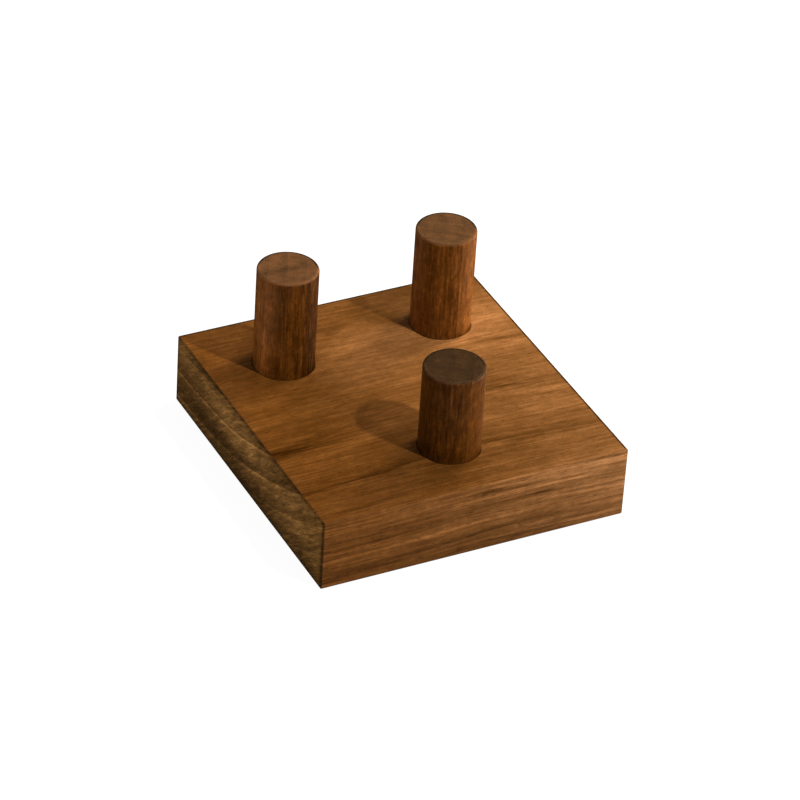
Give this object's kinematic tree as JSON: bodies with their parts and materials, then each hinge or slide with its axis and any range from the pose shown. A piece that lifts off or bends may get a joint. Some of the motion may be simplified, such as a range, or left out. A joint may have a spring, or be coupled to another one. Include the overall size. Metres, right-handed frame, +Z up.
{
  "type": "tower of hanoi puzzle",
  "caption": "Peg board of a tower of hanoi puzzle: a solid wooden block with upright round pegs in a triangle, two at the back and a shorter one in front, that stacking discs go on.",
  "frame": {"origin": "centre of the board's underside", "axes": "+Z up along the pegs, +X to the right along the front edge and along the grain, +Y from the front edge, by the shorter peg, to the back edge"},
  "size_m": [0.106, 0.1106, 0.0614],
  "materials": {
    "board_wood": "oiled walnut, satin, straight grain along the front edge",
    "peg_wood": "oiled dark walnut dowel, satin, grain along the peg"
  },
  "bodies": {
    "root": {"base_board": "board_wood", "peg_back_left": "peg_wood", "peg_back_right": "peg_wood", "peg_front": "peg_wood"}
  },
  "joints": []
}
